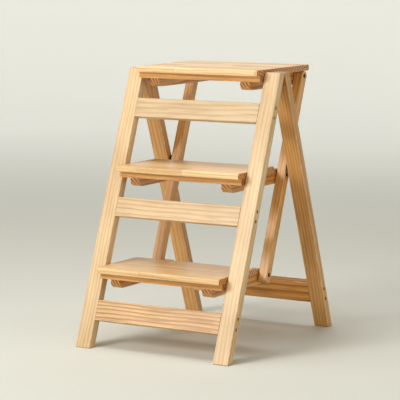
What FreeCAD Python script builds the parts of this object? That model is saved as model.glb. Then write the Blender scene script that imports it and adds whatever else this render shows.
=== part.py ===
"""Wooden folding three-step step ladder, built as an assembly of separate pieces.

Millimetres. X points to the right, the climbing side faces -Y, Z is up, the floor is Z = 0.
Side-view points are written (y, z) with y measured from the front foot's front corner;
place() moves everything so that the origin is under the middle of the footprint.
"""
import FreeCAD
import Part
import math
import os

V = FreeCAD.Vector

# overall
HALF_WIDTH = 198.0          # outer face of stiles and rear legs
STILE_W = 38.0              # stile and rear leg, left to right
STILE_D = 22.0              # stile, front to back
STILE_H = 620.0             # top of stiles and rear legs
LEAN = math.radians(20.9)   # stiles lean back
REAR_D = 20.0               # rear leg, front to back
REAR_FOOT = 490.0           # front corner of the rear foot
TOP_GAP = 0.3               # stile to rear leg where they meet at the top
INNER = HALF_WIDTH - STILE_W
EASE = 2.0                  # rounding of the long edges
FOOT_CHAMFER = 1.6          # broken edge round each foot

# rails and stretcher, heights measured on their front faces
RAIL_T = 18.0
RAILS = {"bottom": (62.0, 106.0), "middle": (289.5, 331.5), "top": (511.0, 553.0)}
STRETCHER_Z = (60.0, 110.0)

# treads
TREAD_TOPS = {"bottom": 181.5, "middle": 404.0, "top": 626.5}
BOARD_DEPTH = {"bottom": 168.0, "middle": 168.0, "top": 254.0}
TREAD_HALF = 158.5          # half length of boards and front battens
BOARD_T = 14.0
NOSE = 42.0                 # board front edge ahead of the front pivot
PIVOT_DROP = 21.0           # front pivot below the tread surface
BATTEN_SETBACK = 15.0
BATTEN_D = 38.0
BATTEN_T = 14.0
BEARER_X = (107.0, 131.0)
BEARER_H = 33.0
LINK = 196.0                # front pivot to tie bar pivot
TIE_DROP = 26.0             # tie bar pivot below the tread surface
BEARER_TOE = 14.0           # rounding of the lower front corner
BEARER_HEEL = 8.0           # rounding of the back corners
BEARER_TAIL = 16.0          # bearer behind the tie bar pivot

# tie bars
TIE_X = (133.0, 155.0)
TIE_D = 22.0
TIE_TAIL = 18.0             # tie bar below its lowest pivot
REST_STUD = (356.0, 400.0)  # stud on the tie bar
STUD_R = 5.0
STUD_GAP = 0.3

# pins, bolts and screws
PIN_R = 4.0
BOLT_R = 3.0
RUN = 0.05                  # radial running clearance
SCREW_R = 2.2
HEAD_R = 3.8
HEAD_T = 3.0
SOCKET_R = 1.8
BORE_R = 4.0                # counterbore over a screw head
SEAT_DEPTH = 8.0            # rail screw heads below the stile's outer side
RAIL_GRIP = 32.0            # rail screws into the end of a rail
BOARD_SEAT = 9.0            # board screw heads above the bearer's underside
BOARD_SCREW = 28.0          # shank of a board screw
BOLT_HEAD_R = 5.0
BOLT_SEAT = 6.0             # underside of a bolt head below the tie bar's outer side
HEAD_GAP = 0.4              # round and under a bolt head
PIN_GRIP = 26.0             # front pivot pin into the stile and into the batten
BOLT_END = 4.0              # bearer left beyond a tie bolt
STUD_SHANK_R = 2.5

# top hinges
HINGE_Z = 610.0
BARREL_R = 3.0
HINGE_PIN_R = 1.5
BARREL_ROOM = 0.4
HINGE_SCREW_R = 1.25
HINGE_HEAD_R = 2.6
HINGE_SCREW = 14.0
LEAF_T = 1.5
LEAF_W = 24.0
LEAF_L = 22.0
KNUCKLE_GAP = 0.2

STILE_BACK_TOP = STILE_H * math.tan(LEAN) + STILE_D / math.cos(LEAN)
REAR_ANGLE = math.atan((REAR_FOOT - STILE_BACK_TOP - TOP_GAP) / STILE_H)
DEPTH = REAR_FOOT + REAR_D / math.cos(REAR_ANGLE)
LEG_MID = INNER + STILE_W / 2
BEARER_MID = sum(BEARER_X) / 2


# ---------------------------------------------------------------- small helpers
def place(shape):
    """Move a finished shape from the foot-corner datum to the centred one."""
    moved = shape.copy()
    moved.translate(V(0, -DEPTH / 2, 0))
    return moved


def mirrored(shape):
    return shape.mirror(V(0, 0, 0), V(1, 0, 0))


def both_sides(shape):
    return [shape, mirrored(shape)]


def cut_all(shape, tools):
    for tool in tools:
        shape = shape.cut(tool)
    return shape


def rod(radius, x0, x1, at):
    """Cylinder along X from x0 to x1, centred on the side-view point at."""
    return Part.makeCylinder(radius, x1 - x0, V(x0, at[0], at[1]), V(1, 0, 0))


def ring(outer, inner, x0, x1, at):
    return rod(outer, x0, x1, at).cut(rod(inner, x0 - 1, x1 + 1, at))


def slab(points, x0, x1):
    """Side-view polygon drawn out along X."""
    wire = Part.makePolygon([V(x0, y, z) for y, z in points + points[:1]])
    return Part.Face(wire).extrude(V(x1 - x0, 0, 0))


def is_along(edge, direction):
    if edge.Curve.TypeId != "Part::GeomLine":
        return False
    line = edge.Vertexes[1].Point.sub(edge.Vertexes[0].Point)
    return abs(abs(line.normalize().dot(direction)) - 1) < 1e-6


def eased(shape, direction, radius=EASE):
    """Round the edges that run along one direction."""
    return shape.makeFillet(radius, [e for e in shape.Edges if is_along(e, direction)])


def round_edges_at(shape, radius, points):
    """Round the edges along X that pass through the given side-view points."""
    picked = []
    for edge in shape.Edges:
        if not is_along(edge, V(1, 0, 0)):
            continue
        p = edge.Vertexes[0].Point
        if any(math.hypot(p.y - y, p.z - z) < 0.01 for y, z in points):
            picked.append(edge)
    return shape.makeFillet(radius, picked)


# ---------------------------------------------------------------- sloping datums
def stile_point(z, back=0.0):
    """Point at height z, a distance back behind the stile's front face."""
    return (z * math.tan(LEAN) + back / math.cos(LEAN), z)


def leg_point(z, back=0.0):
    return (REAR_FOOT - z * math.tan(REAR_ANGLE) + back / math.cos(REAR_ANGLE), z)


def front_pivot(level):
    return stile_point(TREAD_TOPS[level] - PIVOT_DROP, STILE_D / 2)


def tie_pivot(level):
    y, z = front_pivot(level)
    return (y + LINK, z + PIVOT_DROP - TIE_DROP)


def hinge_axis():
    gap_front = stile_point(HINGE_Z, STILE_D)[0]
    gap_back = leg_point(HINGE_Z)[0]
    return ((gap_front + gap_back) / 2, HINGE_Z)


def sloping_bar(foot, angle, width_x, depth, length, x0):
    """Bar with eased long edges; its front face rises from foot at angle from vertical."""
    bar = eased(Part.makeBox(width_x, depth, length), V(0, 0, 1))
    bar.rotate(V(0, 0, 0), V(1, 0, 0), -math.degrees(angle))
    bar.translate(V(x0, foot[0], foot[1]))
    return bar


def level_cut(shape, height):
    """Trim a bar level with the floor and with its top, and break the edges of the foot."""
    bar = shape.common(Part.makeBox(1000, 2000, height, V(-500, -700, 0)))
    rim = [e for e in bar.Edges if all(abs(v.Point.z) < 1e-6 for v in e.Vertexes)]
    return bar.makeChamfer(FOOT_CHAMFER, rim)


# ---------------------------------------------------------------- screws across a joint
def screw_pair(z_pair, datum, mid):
    """Side-view points of two screws, a quarter of the rail's width in from its edges."""
    low, high = z_pair
    quarter = (high - low) / 4
    return [datum(z, mid) for z in (low + quarter, high - quarter)]


def side_screw(at):
    """Screw driven inwards through a stile or leg into the end of a rail (right side)."""
    seat = HALF_WIDTH - SEAT_DEPTH
    head = rod(HEAD_R, seat, seat + HEAD_T, at)
    head = head.cut(rod(SOCKET_R, seat + HEAD_T / 2, seat + HEAD_T + 1, at))
    return head.fuse(rod(SCREW_R, INNER - RAIL_GRIP, seat, at))


def side_screw_room(at):
    seat = HALF_WIDTH - SEAT_DEPTH
    return rod(BORE_R, seat, HALF_WIDTH + 1, at).fuse(rod(SCREW_R, INNER - RAIL_GRIP, seat, at))


def rail_screw_points():
    points = []
    for level in RAILS:
        points += screw_pair(RAILS[level], stile_point, RAIL_T / 2 + 1)
    return points


def stretcher_screw_points():
    return screw_pair(STRETCHER_Z, leg_point, RAIL_T / 2 + 0.5)


# ---------------------------------------------------------------- top hinge
def leaf_box(back_face, x0, x1, length):
    """Leaf lying on the stile's back face (True) or on the leg's front face (False)."""
    if back_face:
        top, angle, side = stile_point(HINGE_Z, STILE_D), LEAN, 0.0
    else:
        top, angle, side = leg_point(HINGE_Z), -REAR_ANGLE, -LEAF_T
    leaf = Part.makeBox(x1 - x0, LEAF_T, length, V(0, side, -length))
    leaf.rotate(V(0, 0, 0), V(1, 0, 0), -math.degrees(angle))
    leaf.translate(V(x0, top[0], top[1]))
    return leaf


def hinge_recess():
    """Room for the hinge barrel, cut from the wood and the leaves on either side of it."""
    return rod(BARREL_R + BARREL_ROOM, LEG_MID - LEAF_W / 2 - 1, LEG_MID + LEAF_W / 2 + 1, hinge_axis())


def hinge_leaf(on_stile):
    """One leaf with its share of the three knuckles, on the right-hand side."""
    x0 = LEG_MID - LEAF_W / 2
    third = LEAF_W / 3
    spans = [(0, third), (2 * third, LEAF_W)] if on_stile else [(third, 2 * third)]
    leaf = leaf_box(on_stile, x0, x0 + LEAF_W, LEAF_L)
    leaf = leaf.cut(hinge_recess())
    for a, b in spans:
        inset_a = KNUCKLE_GAP if a > 0 else 0
        inset_b = KNUCKLE_GAP if b < LEAF_W else 0
        xa, xb = x0 + a + inset_a, x0 + b - inset_b
        root = leaf_box(on_stile, xa, xb, 2 * BARREL_R)
        leaf = leaf.fuse(root).fuse(rod(BARREL_R, xa, xb, hinge_axis()))
    bore = HINGE_PIN_R if on_stile else HINGE_PIN_R + RUN
    leaf = leaf.cut(rod(bore, x0 - 1, x0 + LEAF_W + 1, hinge_axis()))
    return cut_all(leaf, [hinge_screw(p, on_stile) for p in hinge_screw_points()]).removeSplitter()


def hinge_screw_points():
    """(x, distance down the leaf) of the two screws in a right-hand leaf."""
    return [(LEG_MID - 6.5, 15.5), (LEG_MID + 6.5, 15.5)]


def hinge_screw(point, on_stile):
    """Countersunk screw, flush with the leaf's face and square to it."""
    x, down = point
    head = Part.makeCone(HINGE_HEAD_R, HINGE_SCREW_R, LEAF_T)
    shank = Part.makeCylinder(HINGE_SCREW_R, HINGE_SCREW, V(0, 0, LEAF_T))
    screw = head.fuse(shank)
    angle = LEAN if on_stile else -REAR_ANGLE
    if on_stile:
        base = stile_point(HINGE_Z, STILE_D)
        aim = V(0, -math.cos(angle), math.sin(angle))
    else:
        base = leg_point(HINGE_Z)
        aim = V(0, math.cos(angle), -math.sin(angle))
    y = base[0] - down * math.sin(angle) - aim.y * LEAF_T
    z = base[1] - down * math.cos(angle) - aim.z * LEAF_T
    screw.Placement = FreeCAD.Placement(V(x, y, z), FreeCAD.Rotation(V(0, 0, 1), aim))
    return screw


def hinge_pin():
    x0 = LEG_MID - LEAF_W / 2
    return rod(HINGE_PIN_R, x0 - 0.5, x0 + LEAF_W + 0.5, hinge_axis())


# ---------------------------------------------------------------- front frame
def front_stile():
    bar = sloping_bar(stile_point(-60), LEAN, STILE_W, STILE_D, 800.0, INNER)
    bar = level_cut(bar, STILE_H)
    bar = cut_all(bar, [side_screw_room(p) for p in rail_screw_points()])
    bar = cut_all(bar, [hinge_screw(p, True) for p in hinge_screw_points()])
    bar = bar.cut(hinge_recess())
    return cut_all(bar, [front_pin(level) for level in TREAD_TOPS])


def front_rail(level):
    low, high = RAILS[level]
    length = (high - low) / math.cos(LEAN)
    rail = eased(Part.makeBox(2 * INNER, RAIL_T, length), V(1, 0, 0), 1.5)
    rail.rotate(V(0, 0, 0), V(1, 0, 0), -math.degrees(LEAN))
    y, z = stile_point(low)
    rail.translate(V(-INNER, y, z))
    tools = []
    for point in screw_pair(RAILS[level], stile_point, RAIL_T / 2 + 1):
        tools += both_sides(side_screw_room(point))
    return cut_all(rail, tools)


def front_pin(level):
    return rod(PIN_R, TREAD_HALF - PIN_GRIP, INNER + PIN_GRIP, front_pivot(level))


def front_washer(level):
    return ring(9.0, PIN_R, TREAD_HALF + 0.3, INNER - 0.3, front_pivot(level))


# ---------------------------------------------------------------- rear frame
def rear_leg():
    bar = sloping_bar(leg_point(-60), -REAR_ANGLE, STILE_W, REAR_D, 800.0, INNER)
    bar = level_cut(bar, STILE_H)
    bar = cut_all(bar, [side_screw_room(p) for p in stretcher_screw_points()])
    bar = cut_all(bar, [hinge_screw(p, False) for p in hinge_screw_points()])
    bar = bar.cut(hinge_recess())
    return bar.cut(leg_stud())


def rear_stretcher():
    low, high = STRETCHER_Z
    length = (high - low) / math.cos(REAR_ANGLE)
    rail = eased(Part.makeBox(2 * INNER, RAIL_T, length), V(1, 0, 0), 1.5)
    rail.rotate(V(0, 0, 0), V(1, 0, 0), math.degrees(REAR_ANGLE))
    y, z = leg_point(low)
    rail.translate(V(-INNER, y, z))
    tools = []
    for point in stretcher_screw_points():
        tools += both_sides(side_screw_room(point))
    return cut_all(rail, tools)


def leg_stud():
    """Steel stud on the leg's inner face, under the tie bar's stud."""
    at = (REST_STUD[0], REST_STUD[1] - 2 * STUD_R - STUD_GAP)
    return rod(STUD_R, TIE_X[1] + 1.0, INNER, at).fuse(rod(STUD_SHANK_R, INNER, INNER + 18.0, at))


# ---------------------------------------------------------------- treads
def tread_board(level):
    y, z = front_pivot(level)
    front, top = y - NOSE, z + PIVOT_DROP
    back, low = front + BOARD_DEPTH[level], z + PIVOT_DROP - BOARD_T
    board = slab([(front, low), (back, low), (back, top), (front, top)], -TREAD_HALF, TREAD_HALF)
    board = round_edges_at(board, 4.5, [(front, top)])
    board = round_edges_at(board, 3.0, [(front, low)])
    board = round_edges_at(board, 2.5, [(back, low), (back, top)])
    board = board.makeFillet(1.2, end_edges(board, TREAD_HALF))
    return cut_all(board, [room for x in (1, -1) for room in board_screw_rooms(level, x)])


def end_edges(shape, half):
    """Edges lying in the two end faces of a part of the given half length."""
    return [e for e in shape.Edges if all(abs(abs(v.Point.x) - half) < 1e-6 for v in e.Vertexes)]


def front_batten(level):
    y, z = front_pivot(level)
    front = y - NOSE + BATTEN_SETBACK
    top = z + PIVOT_DROP - BOARD_T
    batten = Part.makeBox(2 * TREAD_HALF, BATTEN_D, BATTEN_T, V(-TREAD_HALF, front, top - BATTEN_T))
    batten = round_edges_at(batten, 2.0, [(front, top - BATTEN_T), (front + BATTEN_D, top - BATTEN_T)])
    hole = rod(PIN_R + RUN, TREAD_HALF - PIN_GRIP - 1, TREAD_HALF + 1, (y, z))
    return cut_all(batten, both_sides(hole))


def bearer(level):
    """Right-hand bearer under a tread, notched for the front batten."""
    y, z = front_pivot(level)
    front = y - NOSE + BATTEN_SETBACK + 1.0
    behind = y - NOSE + BATTEN_SETBACK + BATTEN_D
    back = y + LINK + BEARER_TAIL
    top = z + PIVOT_DROP - BOARD_T
    low = top - BEARER_H
    outline = [(front, top - BATTEN_T), (behind, top - BATTEN_T), (behind, top), (back, top), (back, low),
               (front, low)]
    body = slab(outline, *BEARER_X)
    body = round_edges_at(body, BEARER_TOE, [(front, low)])
    body = round_edges_at(body, BEARER_HEEL, [(back, low), (back, top)])
    body = cut_all(body, board_screw_rooms(level, 1))
    return body.cut(rod(BOLT_R, BEARER_X[0] + BOLT_END, BEARER_X[1] + 1, tie_pivot(level)))


def board_screw_spots(level):
    """(y, z of the bearer's underside) of the two screws in a bearer."""
    y, z = front_pivot(level)
    low = z + PIVOT_DROP - BOARD_T - BEARER_H
    return [(y + 30.0, low), (y - NOSE + 168.0 - 28.0, low)]


def board_screw(x, spot):
    y, low = spot
    head = Part.makeCylinder(HEAD_R, HEAD_T, V(x, y, low + BOARD_SEAT))
    head = head.cut(Part.makeCylinder(SOCKET_R, HEAD_T / 2, V(x, y, low + BOARD_SEAT)))
    return head.fuse(board_screw_shank(x, y, low))


def board_screw_shank(x, y, low):
    return Part.makeCylinder(SCREW_R, BOARD_SCREW, V(x, y, low + BOARD_SEAT + HEAD_T))


def board_screw_rooms(level, side):
    rooms = []
    x = side * BEARER_MID
    for y, low in board_screw_spots(level):
        bore = Part.makeCylinder(BORE_R, BOARD_SEAT + HEAD_T + 1.0, V(x, y, low - 1.0))
        rooms.append(bore.fuse(board_screw_shank(x, y, low)))
    return rooms


def tie_bolt(level):
    """Shoulder bolt: turns in the tie bar, fixed in the bearer."""
    at = tie_pivot(level)
    seat = TIE_X[1] - BOLT_SEAT
    head = rod(BOLT_HEAD_R, seat, TIE_X[1] - 2.0, at).cut(rod(BOLT_HEAD_R / 2, seat + 1.5, TIE_X[1], at))
    return head.fuse(rod(BOLT_R, BEARER_X[0] + BOLT_END, seat, at))


def tie_washer(level):
    return ring(8.0, BOLT_R, BEARER_X[1], TIE_X[0] - 0.3, tie_pivot(level))


# ---------------------------------------------------------------- tie bars
def tie_bar():
    """Right-hand tie bar, parallel to the stile, through the three rear pivots."""
    y0, z0 = tie_pivot("bottom")
    y1, z1 = tie_pivot("top")
    length = math.hypot(y1 - y0, z1 - z0)
    bar = Part.makeBox(TIE_X[1] - TIE_X[0], TIE_D, length + TIE_TAIL, V(0, -TIE_D / 2, -TIE_TAIL))
    bar = eased(bar, V(0, 0, 1), 1.5)
    tip = rod(TIE_D / 2, 0, TIE_X[1] - TIE_X[0], (0, length))
    tail = Part.makeBox(TIE_X[1] - TIE_X[0], TIE_D, TIE_TAIL, V(0, -TIE_D / 2, -TIE_TAIL))
    tail = round_edges_at(tail, 6.0, [(-TIE_D / 2, -TIE_TAIL), (TIE_D / 2, -TIE_TAIL)])
    shank = Part.makeBox(TIE_X[1] - TIE_X[0], TIE_D, length, V(0, -TIE_D / 2, 0))
    bar = bar.common(tail.fuse(shank)).fuse(tip)
    bar.rotate(V(0, 0, 0), V(1, 0, 0), -math.degrees(LEAN))
    bar.translate(V(TIE_X[0], y0, z0))
    for level in TREAD_TOPS:
        at = tie_pivot(level)
        bar = bar.cut(rod(BOLT_R + RUN, TIE_X[0] - 1, TIE_X[1] + 1, at))
        bar = bar.cut(rod(BOLT_HEAD_R + HEAD_GAP, TIE_X[1] - BOLT_SEAT - HEAD_GAP, TIE_X[1] + 1, at))
    return bar.cut(tie_stud())


def tie_stud():
    """Steel stud on the tie bar's outer face; it sits over the leg's stud when open."""
    shank = rod(STUD_SHANK_R, TIE_X[1] - 16.0, TIE_X[1], REST_STUD)
    return rod(STUD_R, TIE_X[1], INNER - 1.0, REST_STUD).fuse(shank)


# ---------------------------------------------------------------- nodes
def group(makers):
    """Several separate solids in one node."""
    return Part.makeCompound([solid for shape in makers for solid in shape.Solids])


def side_nodes():
    right = {
        "front_stile": front_stile(),
        "rear_leg": rear_leg(),
        "tie_bar": tie_bar(),
        "tie_rest_stud": tie_stud(),
        "leg_rest_stud": leg_stud(),
        "stile_hinge_leaf": hinge_leaf(True),
        "leg_hinge_leaf": hinge_leaf(False),
        "hinge_pin": hinge_pin(),
    }
    nodes = {}
    for name, shape in right.items():
        nodes[name + "_right"] = shape
        nodes[name + "_left"] = mirrored(shape)
    return nodes


def frame_nodes():
    nodes = {"front_rail_" + level: front_rail(level) for level in RAILS}
    nodes["rear_stretcher"] = rear_stretcher()
    nodes["rail_screws"] = group(s for p in rail_screw_points() for s in both_sides(side_screw(p)))
    nodes["stretcher_screws"] = group(s for p in stretcher_screw_points() for s in both_sides(side_screw(p)))
    for name, on_stile in (("stile_hinge_screws", True), ("leg_hinge_screws", False)):
        screws = [hinge_screw(p, on_stile) for p in hinge_screw_points()]
        nodes[name] = group(s for screw in screws for s in both_sides(screw))
    nodes["front_pivot_pins"] = group(s for level in TREAD_TOPS for s in both_sides(front_pin(level)))
    nodes["front_pivot_washers"] = group(s for level in TREAD_TOPS for s in both_sides(front_washer(level)))
    return nodes


def tread_nodes(level):
    screws = [board_screw(side * BEARER_MID, spot) for spot in board_screw_spots(level) for side in (1, -1)]
    return {
        "tread_board_" + level: tread_board(level),
        "front_batten_" + level: front_batten(level),
        "bearer_" + level + "_right": bearer(level),
        "bearer_" + level + "_left": mirrored(bearer(level)),
        "board_screws_" + level: group(screws),
        "tie_bolts_" + level: group(both_sides(tie_bolt(level))),
        "tie_washers_" + level: group(both_sides(tie_washer(level))),
    }


def main():
    nodes = side_nodes()
    nodes.update(frame_nodes())
    for level in TREAD_TOPS:
        nodes.update(tread_nodes(level))
    os.makedirs("parts", exist_ok=True)
    for name, shape in sorted(nodes.items()):
        place(shape).exportStep("parts/" + name + ".step")
    print(len(nodes), "nodes written")


main()
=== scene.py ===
"""Wooden folding step ladder: pine and steel finishes, studio floor, light and camera."""

import bpy
import math
from mathutils import Euler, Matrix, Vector

LEAN = math.radians(20.9)
REAR = math.radians(-20.3)
LEVELS = ("bottom", "middle", "top")
SIDES = ("left", "right")
FLOOR_Z = -0.0004           # just under the feet
SHARP = math.radians(32)    # edges turning by more than this stay crisp

# pine: lengths in metres
STAVE = (0.046, 0.21)       # width and length of the staves in a tread board
FINGER = 0.0028             # half the pitch of the finger joints
FINGER_SLOPE = 2.2
END_LINE = 0.0003           # half width of the line where stave ends meet
SIDE_LINE = 0.0002          # half width of the line between staves
POSITIVE = 5.0              # added to a coordinate before it is counted off
RAIL_LOOK = {"bottom": (-0.4, 1.0), "middle": (-1.2, 0.6), "top": (-1.6, 0.42)}   # warmth, grain
END_GRAIN = 0.92            # share of the end grain colour on a sawn end
GLUE = (120, 76, 34)
# Pale edge colour: partly wear, partly a painted highlight along the edges.
WORN_AND_HIGHLIT_EDGE = (250, 228, 188)

CAMERA_AT = (2.1475, -3.7089, 0.8943)
CAMERA_DIP = 7.64           # degrees below level
CAMERA_TURN = 30.30         # degrees about Z
LENS = 168.7

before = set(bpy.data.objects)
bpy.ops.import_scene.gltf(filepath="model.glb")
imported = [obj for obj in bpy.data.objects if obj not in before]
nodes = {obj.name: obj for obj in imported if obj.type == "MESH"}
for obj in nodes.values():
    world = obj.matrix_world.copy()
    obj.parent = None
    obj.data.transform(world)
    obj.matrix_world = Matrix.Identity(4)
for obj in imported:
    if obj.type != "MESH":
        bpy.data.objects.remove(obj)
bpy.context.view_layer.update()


# ---------------------------------------------------------------- node helpers
class Graph:
    """A material's node tree with short calls for the nodes used here."""

    def __init__(self, name):
        self.material = bpy.data.materials.new(name)
        self.material.use_nodes = True
        self.tree = self.material.node_tree
        self.shader = self.tree.nodes["Principled BSDF"]

    def node(self, kind, **settings):
        made = self.tree.nodes.new(kind)
        for key, value in settings.items():
            setattr(made, key, value)
        return made

    def link(self, source, target):
        self.tree.links.new(source, target)

    def feed(self, socket, value):
        if hasattr(value, "is_output"):
            self.link(value, socket)
        else:
            socket.default_value = value

    def math(self, operation, a, b=0.0):
        made = self.node("ShaderNodeMath", operation=operation)
        for socket, value in zip(made.inputs, (a, b)):
            self.feed(socket, value)
        return made.outputs[0]

    def combine(self, x, y, z):
        made = self.node("ShaderNodeCombineXYZ")
        for socket, value in zip(made.inputs, (x, y, z)):
            self.feed(socket, value)
        return made.outputs[0]

    def split(self, vector):
        made = self.node("ShaderNodeSeparateXYZ")
        self.link(vector, made.inputs[0])
        return made.outputs

    def noise(self, vector, scale, detail=2.0, roughness=0.5):
        made = self.node("ShaderNodeTexNoise")
        self.link(vector, made.inputs["Vector"])
        made.inputs["Scale"].default_value = scale
        made.inputs["Detail"].default_value = detail
        made.inputs["Roughness"].default_value = roughness
        return made.outputs["Fac"]

    def random(self, vector):
        made = self.node("ShaderNodeTexWhiteNoise", noise_dimensions="3D")
        self.link(vector, made.inputs["Vector"])
        return made.outputs["Value"]

    def ramp(self, value, stops):
        made = self.node("ShaderNodeValToRGB")
        made.color_ramp.interpolation = "EASE"
        elements = made.color_ramp.elements
        while len(elements) < len(stops):
            elements.new(0.5)
        for element, (position, shade) in zip(elements, stops):
            element.position = position
            element.color = (*shade, 1.0) if isinstance(shade, tuple) else (shade, shade, shade, 1.0)
        self.link(value, made.inputs[0])
        return made.outputs[0]

    def mix(self, amount, a, b, blend="MIX"):
        made = self.node("ShaderNodeMix", data_type="RGBA", blend_type=blend)
        self.feed(made.inputs[0], amount)
        self.feed(made.inputs[6], a)
        self.feed(made.inputs[7], b)
        return made.outputs[2]

    def bump(self, height, strength, distance):
        made = self.node("ShaderNodeBump")
        self.link(height, made.inputs["Height"])
        made.inputs["Strength"].default_value = strength
        made.inputs["Distance"].default_value = distance
        self.link(made.outputs[0], self.shader.inputs["Normal"])


def srgb(r, g, b):
    """Linear colour from 0-255 sRGB."""
    return tuple((v / 255 / 12.92) if v <= 10 else ((v / 255 + 0.055) / 1.055) ** 2.4 for v in (r, g, b))


def rgba(colour):
    return (*colour, 1.0)


# ---------------------------------------------------------------- wood
def local_box(node, tilt):
    """(centre, half size) of a CAD node in the frame turned by tilt about X."""
    turn = Euler((tilt, 0.0, 0.0)).to_matrix()
    points = [turn @ v.co for v in nodes[node].data.vertices]
    low = Vector([min(p[i] for p in points) for i in range(3)])
    high = Vector([max(p[i] for p in points) for i in range(3)])
    return (low + high) / 2, (high - low) / 2


def along_grain(values, along):
    """Three values reordered so that the one along the grain comes first."""
    x, y, z = values
    return {"x": (x, y, z), "y": (y, x, z), "z": (z, x, y)}[along]


def turned(g, source, tilt, shift):
    """The three parts of a vector turned by tilt about X and then moved by shift."""
    mapping = g.node("ShaderNodeMapping", vector_type="POINT")
    g.link(source, mapping.inputs["Vector"])
    mapping.inputs["Rotation"].default_value = (tilt, 0.0, 0.0)
    mapping.inputs["Location"].default_value = shift
    return g.split(mapping.outputs[0])


def staves(g, along, across, width, length, seed):
    """Glued-up staves with finger joints: (random number per stave, joint-line mask)."""
    side = g.math("ADD", across, POSITIVE + seed * 0.011)
    row = g.math("FLOOR", g.math("DIVIDE", side, width))
    stagger = g.random(g.combine(row, seed, 3.1))
    finger = g.math("MULTIPLY", g.math("PINGPONG", side, FINGER), FINGER_SLOPE / length)
    place = g.math("DIVIDE", g.math("ADD", along, POSITIVE), length)
    place = g.math("ADD", place, g.math("MULTIPLY", stagger, 3.0))
    place = g.math("ADD", place, finger)
    number = g.random(g.combine(row, g.math("FLOOR", place), seed))
    end_line = g.math("LESS_THAN", g.math("PINGPONG", place, 0.5), END_LINE / length)
    side_line = g.math("LESS_THAN", g.math("PINGPONG", side, width / 2), SIDE_LINE)
    return number, g.math("MAXIMUM", end_line, side_line)


def edge_mask(g, axes, half):
    """1 along the long edges of a board, fading out over a few millimetres."""
    gaps = [g.math("SUBTRACT", h, g.math("ABSOLUTE", a)) for a, h in zip(axes[1:], half[1:])]
    return g.ramp(g.math("MULTIPLY", g.math("MAXIMUM", *gaps), 100.0), [(0.05, 1.0), (0.34, 0.0)])


def growth_rings(g, u, v, w, seed, piece, pitch):
    """0 in early wood, rising to 1 at the end of each year's ring."""
    stretched = g.combine(g.math("MULTIPLY", u, 0.30), g.math("ADD", v, 0.37 * seed), w)
    waver = g.math("SUBTRACT", g.noise(stretched, 9.0, 2.0), 0.5)
    angle = math.radians(28 + 37 * seed % 30)
    reach = 0.085 + 0.013 * (seed % 4)
    if piece is None:
        across = g.math("ADD", v, reach * math.cos(angle))
        through = g.math("ADD", w, reach * math.sin(angle))
    else:
        across = g.math("ADD", v, g.math("MULTIPLY", g.math("SUBTRACT", piece, 0.35), 0.34))
        through = g.math("ADD", w, g.math("ADD", g.math("MULTIPLY", piece, 0.05), 0.045))
    squares = g.math("ADD", g.math("MULTIPLY", across, across), g.math("MULTIPLY", through, through))
    radius = g.math("ADD", g.math("SQRT", squares), g.math("MULTIPLY", waver, 0.016))
    ring = g.math("FRACT", g.math("DIVIDE", g.math("ADD", radius, 1.0), pitch))
    return g.ramp(ring, [(0.0, 0.0), (0.40, 0.10), (0.78, 0.80), (0.90, 1.0), (1.0, 0.0)])


def toned(colour, tone):
    return rgba(tuple(c * tone for c in colour))


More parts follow.
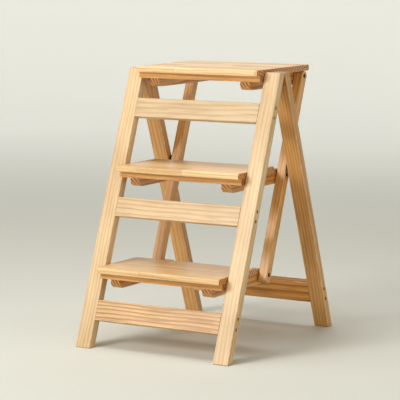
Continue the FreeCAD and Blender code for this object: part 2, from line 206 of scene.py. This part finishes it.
def wood(node, seed, tilt=0.0, along="z", tone=1.0, warm=0.0, grain=0.5, pitch=0.0062, stave=None):
    """Satin-varnished pine with growth rings, fibres, streaks, end grain, and long edges lightened partly by
    wear, partly as a painted edge highlight.
    """
    g = Graph("pine_" + node)
    coords = g.node("ShaderNodeTexCoord")
    centre, half = local_box(node, tilt)
    u, v, w = along_grain(turned(g, coords.outputs["Object"], tilt, -centre), along)
    facing = along_grain(turned(g, coords.outputs["Normal"], tilt, (0, 0, 0)), along)[0]
    edge = edge_mask(g, (u, v, w), along_grain(half, along))
    piece, joint = staves(g, u, v, stave[0], stave[1], seed) if stave else (None, 0.0)
    late = growth_rings(g, u, v, w, seed, piece, pitch)
    shifted = g.math("ADD", u, g.math("MULTIPLY", piece, 7.0)) if stave else g.math("ADD", u, seed * 0.71)
    fibre = g.noise(g.combine(g.math("MULTIPLY", shifted, 0.035), v, w), 1300.0, 3.0, 0.6)
    streak = g.noise(g.combine(g.math("MULTIPLY", shifted, 0.045), v, w), 210.0, 3.0, 0.6)
    cloud = g.noise(g.combine(g.math("MULTIPLY", shifted, 0.35), v, w), 16.0, 2.0)

    early = srgb(min(255, 233 + 5 * warm), 191 - 6 * warm, 130 - 18 * warm)
    dark = srgb(186 + 4 * warm, 118 - 4 * warm, 54 - 10 * warm)
    colour = g.mix(g.math("MULTIPLY", late, grain), toned(early, tone), toned(dark, tone))
    brown = g.ramp(streak, [(0.46, 0.0), (0.70, 1.0)])
    colour = g.mix(g.math("MULTIPLY", brown, 0.55 * grain + 0.08), colour, toned(srgb(172, 108, 46), tone))
    if stave:
        share = g.math("MULTIPLY", piece, 0.6)
        cloud = g.math("ADD", share, g.math("ADD", g.math("MULTIPLY", cloud, 0.3), 0.08))
    tint = g.ramp(cloud, [(0.22, (0.80, 0.73, 0.60)), (0.72, (1.06, 1.06, 1.06))])
    colour = g.mix(0.9, colour, tint, "MULTIPLY")
    speck = g.ramp(fibre, [(0.30, (0.74, 0.62, 0.50)), (0.47, (1.0, 1.0, 1.0))])
    colour = g.mix(0.5, colour, speck, "MULTIPLY")
    end_ring = g.ramp(late, [(0.25, 0.0), (0.55, 1.0)])
    end_tone = g.mix(end_ring, toned(srgb(204, 138, 70), tone), toned(srgb(92, 44, 14), tone))
    sawn = g.math("POWER", g.math("ABSOLUTE", facing), 6.0)
    colour = g.mix(g.math("MULTIPLY", sawn, END_GRAIN), colour, end_tone)
    colour = g.mix(g.math("MULTIPLY", joint, 0.6), colour, rgba(srgb(*GLUE)))
    # Long edges lightened toward the pale edge colour: partly wear, partly a painted highlight along the
    # edges.
    scuff_and_highlight = g.ramp(g.noise(g.combine(u, v, w), 60.0, 5.0, 0.7), [(0.46, 0.0), (0.66, 1.0)])
    wear_and_highlight = g.math("MULTIPLY", edge, g.math("ADD", g.math("MULTIPLY", scuff_and_highlight, 0.35), 0.12))
    colour = g.mix(wear_and_highlight, colour, rgba(srgb(*WORN_AND_HIGHLIT_EDGE)))
    g.link(colour, g.shader.inputs["Base Color"])
    rough = g.math("ADD", g.math("MULTIPLY", late, -0.06), g.math("MULTIPLY", wear_and_highlight, 0.25))
    rough = g.math("ADD", rough, g.math("ADD", g.math("MULTIPLY", fibre, 0.10), 0.40))
    g.link(rough, g.shader.inputs["Roughness"])
    g.shader.inputs["Coat Weight"].default_value = 0.15
    g.shader.inputs["Coat Roughness"].default_value = 0.25
    height = g.math("ADD", g.math("MULTIPLY", late, 0.35), g.math("MULTIPLY", fibre, 0.65))
    height = g.math("SUBTRACT", height, g.math("MULTIPLY", joint, 1.2))
    g.bump(height, 0.35, 0.00035)
    return g.material


# ---------------------------------------------------------------- metal and plastic
def metal(name, colour, rough):
    """Steel or brass, dulled in patches and finely scratched."""
    g = Graph(name)
    coords = g.node("ShaderNodeTexCoord").outputs["Object"]
    tarnish = g.noise(coords, 160.0, 4.0, 0.6)
    scratch = g.noise(coords, 900.0, 2.0)
    dull = tuple(c * 0.6 for c in colour)
    dulled = g.mix(g.ramp(tarnish, [(0.40, 0.0), (0.70, 1.0)]), rgba(colour), rgba(dull))
    g.link(dulled, g.shader.inputs["Base Color"])
    g.shader.inputs["Metallic"].default_value = 1.0
    g.link(g.math("ADD", rough, g.math("MULTIPLY", scratch, 0.25)), g.shader.inputs["Roughness"])
    g.bump(scratch, 0.2, 0.0001)
    return g.material


def nylon(name):
    """Off-white plastic with a faint mottle."""
    g = Graph(name)
    coords = g.node("ShaderNodeTexCoord").outputs["Object"]
    mottle = g.noise(coords, 300.0, 3.0)
    g.link(g.mix(mottle, rgba(srgb(225, 220, 205)), rgba(srgb(200, 194, 178))), g.shader.inputs["Base Color"])
    g.shader.inputs["Roughness"].default_value = 0.45
    g.shader.inputs["Subsurface Weight"].default_value = 0.1
    g.bump(mottle, 0.1, 0.0001)
    return g.material


def paint(node, material):
    """Put one material on a CAD node."""
    mesh = nodes[node].data
    mesh.materials.clear()
    mesh.materials.append(material)


def finish_nodes():
    # Tone and warmth per piece stand partly for painted light and shade: the front stiles and tread boards
    # are made paler and less orange as painted light, and the rear legs, tie bars, front battens, bearers and
    # rear stretcher darker and more orange as painted shade.
    for i, side in enumerate(SIDES):
        finish("front_stile_" + side, 1 + i, LEAN, "z", 0.98, -1.2, 0.38, 0.0075)
        finish("rear_leg_" + side, 4 + i, REAR, "z", 0.81, 0.8, 0.55, 0.0068)
        finish("tie_bar_" + side, 7 + i, LEAN, "z", 0.88, 0.9, 0.55)
    for i, level in enumerate(LEVELS):
        warm, grain = RAIL_LOOK[level]
        finish("front_rail_" + level, 12 - i, LEAN, "x", 0.95, warm, grain, 0.0078)
        # Tread boards are toned up as a painted highlight on their lit tops; front battens and bearers are
        # toned down as painted shade.
        finish("tread_board_" + level, 14 + i, 0.0, "x", 1.17, -1.0, 0.48, 0.0068, STAVE)
        finish("front_batten_" + level, 18 + i, 0.0, "x", 0.80, 1.6, 0.6)
        for j, side in enumerate(SIDES):
            finish("bearer_" + level + "_" + side, 22 + 2 * i + j, 0.0, "y", 0.84, 1.4, 0.9, 0.0072)
    finish("rear_stretcher", 30, REAR, "x", 0.82, 1.5, 1.0, 0.0085)
    screw = metal("screw_steel", srgb(46, 42, 35), 0.45)
    hinge = metal("hinge_brass", srgb(196, 160, 92), 0.3)
    for name in nodes:
        if "hinge" in name:
            paint(name, hinge)
        elif any(word in name for word in ("screws", "stud", "bolts", "pins", "tie_washers")):
            paint(name, screw)
    paint("front_pivot_washers", nylon("washer_nylon"))


def finish(node, *settings):
    paint(node, wood(node, *settings))


# ---------------------------------------------------------------- stage
def smooth_edges():
    for obj in nodes.values():
        mesh = obj.data
        mesh.shade_smooth()
        mesh.set_sharp_from_angle(angle=SHARP)


def backdrop():
    """Pale round floor that sweeps up into a low wall on every side, with painted light glowing brighter
    toward the rim.
    """
    flat, sweep, rim, around, rise = 5.0, 1.4, 1.7, 96, 14
    profile = [(flat * k / 6, 0.0) for k in range(1, 7)]
    for k in range(1, rise + 1):
        turn = math.radians(90 * k / rise)
        profile.append((flat + sweep * math.sin(turn), sweep - sweep * math.cos(turn)))
    profile.append((flat + sweep, rim))
    verts = [(0.0, 0.0, FLOOR_Z)]
    for radius, z in profile:
        for k in range(around):
            angle = 2 * math.pi * k / around
            verts.append((radius * math.cos(angle), radius * math.sin(angle), z + FLOOR_Z))
    faces = [(0, 1 + k, 1 + (k + 1) % around) for k in range(around)]
    for ring in range(len(profile) - 1):
        low, high = 1 + ring * around, 1 + (ring + 1) * around
        for k in range(around):
            after = (k + 1) % around
            faces.append((low + k, high + k, high + after, low + after))
    mesh = bpy.data.meshes.new("backdrop")
    mesh.from_pydata(verts, [], faces)
    mesh.shade_smooth()
    obj = bpy.data.objects.new("backdrop", mesh)
    bpy.context.scene.collection.objects.link(obj)
    g = Graph("backdrop_pale")
    coords = g.node("ShaderNodeTexCoord").outputs["Object"]
    g.link(g.mix(g.noise(coords, 2.0, 3.0), rgba(srgb(222, 224, 216)), rgba(srgb(229, 230, 223))),
           g.shader.inputs["Base Color"])
    g.shader.inputs["Roughness"].default_value = 0.75
    g.shader.inputs["Specular IOR Level"].default_value = 0.15
    # Painted light: the backdrop emits more the further out it is, brightening the far floor and wall beyond
    # what the lamps give.
    x, y, _ = g.split(coords)
    reach = g.math("SQRT", g.math("ADD", g.math("MULTIPLY", x, x), g.math("MULTIPLY", y, y)))
    outward = g.math("DIVIDE", reach, flat + sweep)
    painted_glow = g.ramp(outward, [(0.16, (0.0, 0.0, 0.0)), (0.95, (0.44, 0.445, 0.42))])
    g.link(painted_glow, g.shader.inputs["Emission Color"])
    g.shader.inputs["Emission Strength"].default_value = 1.0
    mesh.materials.append(g.material)


def area_light(name, position, aim, size, power, colour):
    data = bpy.data.lights.new(name, "AREA")
    data.shape = "RECTANGLE"
    data.size, data.size_y = size
    data.energy = power
    data.color = colour
    obj = bpy.data.objects.new(name, data)
    obj.location = position
    obj.rotation_euler = (Vector(aim) - Vector(position)).to_track_quat("-Z", "Y").to_euler()
    bpy.context.scene.collection.objects.link(obj)


def lights():
    area_light("key", (-1.3, -3.2, 2.0), (0, 0, 0.3), (1.3, 1.2), 80, (1.0, 0.98, 0.94))
    area_light("fill", (3.2, -0.8, 1.2), (0, 0, 0.3), (2.0, 2.0), 17, (1.0, 0.88, 0.70))
    area_light("top", (-0.3, -0.2, 3.0), (0, 0, 0.2), (1.8, 1.8), 44, (1.0, 0.98, 0.93))
    area_light("back", (-1.6, 3.8, 2.3), (0, 0, 0.3), (2.0, 2.0), 12, (1.0, 0.97, 0.93))
    world = bpy.data.worlds.new("studio")
    bpy.context.scene.world = world
    world.use_nodes = True
    background = world.node_tree.nodes["Background"]
    background.inputs["Color"].default_value = rgba(srgb(236, 230, 218))
    background.inputs["Strength"].default_value = 0.24


def camera():
    data = bpy.data.cameras.new("camera")
    data.sensor_width = 36.0
    data.lens = LENS
    data.clip_end = 50.0
    obj = bpy.data.objects.new("camera", data)
    obj.location = CAMERA_AT
    obj.rotation_euler = Euler((math.radians(90 - CAMERA_DIP), 0, math.radians(CAMERA_TURN)))
    bpy.context.scene.collection.objects.link(obj)
    bpy.context.scene.camera = obj


finish_nodes()
smooth_edges()
backdrop()
lights()
camera()
bpy.context.scene.view_settings.view_transform = "Standard"
